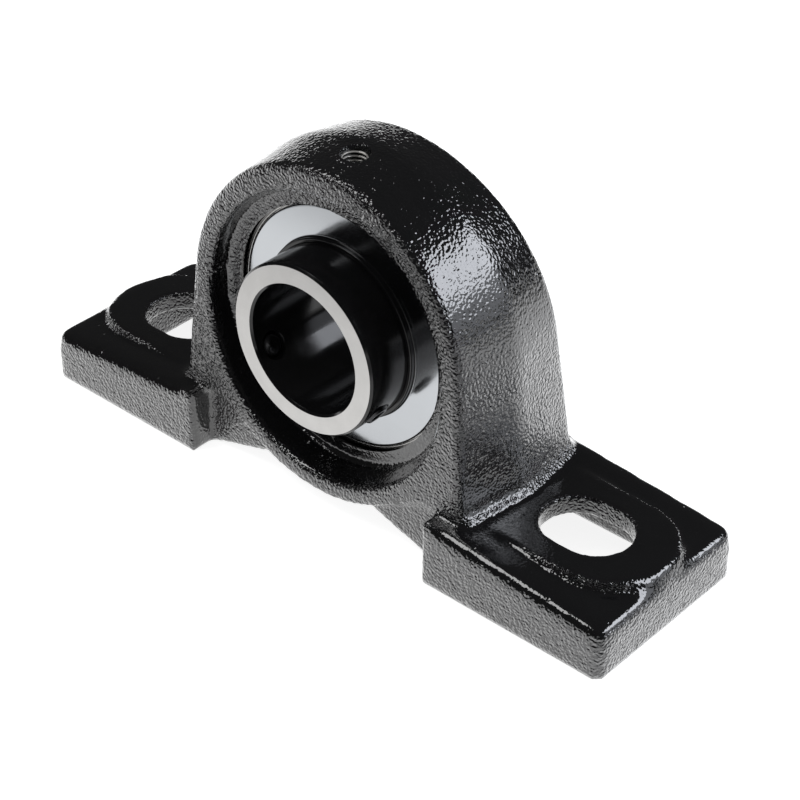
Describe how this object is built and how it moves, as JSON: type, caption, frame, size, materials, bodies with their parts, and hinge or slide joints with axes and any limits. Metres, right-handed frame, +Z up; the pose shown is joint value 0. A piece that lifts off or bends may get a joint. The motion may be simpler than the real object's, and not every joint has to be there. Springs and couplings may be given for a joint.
{
  "type": "pillow block bearing",
  "caption": "Pillow block bearing: cast two-bolt housing with slotted feet around a self-aligning ball bearing insert, whose long inner ring is locked to a shaft by set screws.",
  "frame": {"origin": "middle of the underside of the base, below the shaft centre", "axes": "+X along the base, +Y along the shaft towards the short end of the inner ring, +Z up"},
  "size_m": [0.165, 0.047, 0.0839],
  "materials": {
    "cast_black": "gloss black enamel over a pebbled sand-cast skin",
    "bearing_steel": "ground bearing steel",
    "blackened_steel": "black oxide with bright ground end faces",
    "ball_steel": "polished",
    "pressed_steel": "pressed sheet",
    "seal_rubber": "matt",
    "polished_steel": "polished",
    "screw_steel": "black oxide"
  },
  "bodies": {
    "housing": {"housing": "cast_black"},
    "outer_race": {"outer_ring": "bearing_steel", "seal_front": "seal_rubber", "seal_back": "seal_rubber"},
    "inner_race": {"inner_ring": "blackened_steel", "flinger_front": "polished_steel", "flinger_back": "polished_steel"},
    "cage": {"cage_front": "pressed_steel", "cage_back": "pressed_steel", "cage_rivets": "pressed_steel"},
    "ball_1": {"ball_1": "ball_steel"},
    "ball_2": {"ball_2": "ball_steel"},
    "ball_3": {"ball_3": "ball_steel"},
    "ball_4": {"ball_4": "ball_steel"},
    "ball_5": {"ball_5": "ball_steel"},
    "ball_6": {"ball_6": "ball_steel"},
    "ball_7": {"ball_7": "ball_steel"},
    "ball_8": {"ball_8": "ball_steel"},
    "ball_9": {"ball_9": "ball_steel"},
    "set_screw_1": {"set_screw_1": "screw_steel"},
    "set_screw_2": {"set_screw_2": "screw_steel"}
  },
  "joints": [
    {"name": "insert_align", "type": "hinge", "parent": "housing", "child": "outer_race", "pos_m": [0, 0, 0.0429], "axis": [1, 0, 0], "range_deg": [-3, 3]},
    {"name": "shaft_spin", "type": "hinge", "parent": "outer_race", "child": "inner_race", "pos_m": [0, 0, 0.0429], "axis": [0, 1, 0], "continuous": true},
    {"name": "cage_spin", "type": "hinge", "parent": "outer_race", "child": "cage", "pos_m": [0, 0, 0.0429], "axis": [0, 1, 0], "continuous": true},
    {"name": "ball_1_spin", "type": "hinge", "parent": "cage", "child": "ball_1", "pos_m": [0.023, 0, 0.0429], "axis": [0, 1, 0], "continuous": true},
    {"name": "ball_2_spin", "type": "hinge", "parent": "cage", "child": "ball_2", "pos_m": [0.01762, 0, 0.05768], "axis": [0, 1, 0], "continuous": true},
    {"name": "ball_3_spin", "type": "hinge", "parent": "cage", "child": "ball_3", "pos_m": [0.00399, 0, 0.06555], "axis": [0, 1, 0], "continuous": true},
    {"name": "ball_4_spin", "type": "hinge", "parent": "cage", "child": "ball_4", "pos_m": [-0.0115, 0, 0.06282], "axis": [0, 1, 0], "continuous": true},
    {"name": "ball_5_spin", "type": "hinge", "parent": "cage", "child": "ball_5", "pos_m": [-0.02161, 0, 0.05077], "axis": [0, 1, 0], "continuous": true},
    {"name": "ball_6_spin", "type": "hinge", "parent": "cage", "child": "ball_6", "pos_m": [-0.02161, 0, 0.03503], "axis": [0, 1, 0], "continuous": true},
    {"name": "ball_7_spin", "type": "hinge", "parent": "cage", "child": "ball_7", "pos_m": [-0.0115, 0, 0.02298], "axis": [0, 1, 0], "continuous": true},
    {"name": "ball_8_spin", "type": "hinge", "parent": "cage", "child": "ball_8", "pos_m": [0.00399, 0, 0.02025], "axis": [0, 1, 0], "continuous": true},
    {"name": "ball_9_spin", "type": "hinge", "parent": "cage", "child": "ball_9", "pos_m": [0.01762, 0, 0.02812], "axis": [0, 1, 0], "continuous": true},
    {"name": "set_screw_1_travel", "type": "slide", "parent": "inner_race", "child": "set_screw_1", "axis": [-0.891, 0, -0.454], "range_m": [-0.0016, 0.003]},
    {"name": "set_screw_2_travel", "type": "slide", "parent": "inner_race", "child": "set_screw_2", "axis": [0.8387, 0, -0.5446], "range_m": [-0.0016, 0.003]}
  ],
  "couplings": [
    {"joint": "cage_spin", "follows": "shaft_spin", "ratio": 0.39647},
    {"joint": "ball_1_spin", "follows": "shaft_spin", "ratio": -2.3112},
    {"joint": "ball_2_spin", "follows": "shaft_spin", "ratio": -2.3112},
    {"joint": "ball_3_spin", "follows": "shaft_spin", "ratio": -2.3112},
    {"joint": "ball_4_spin", "follows": "shaft_spin", "ratio": -2.3112},
    {"joint": "ball_5_spin", "follows": "shaft_spin", "ratio": -2.3112},
    {"joint": "ball_6_spin", "follows": "shaft_spin", "ratio": -2.3112},
    {"joint": "ball_7_spin", "follows": "shaft_spin", "ratio": -2.3112},
    {"joint": "ball_8_spin", "follows": "shaft_spin", "ratio": -2.3112},
    {"joint": "ball_9_spin", "follows": "shaft_spin", "ratio": -2.3112}
  ]
}
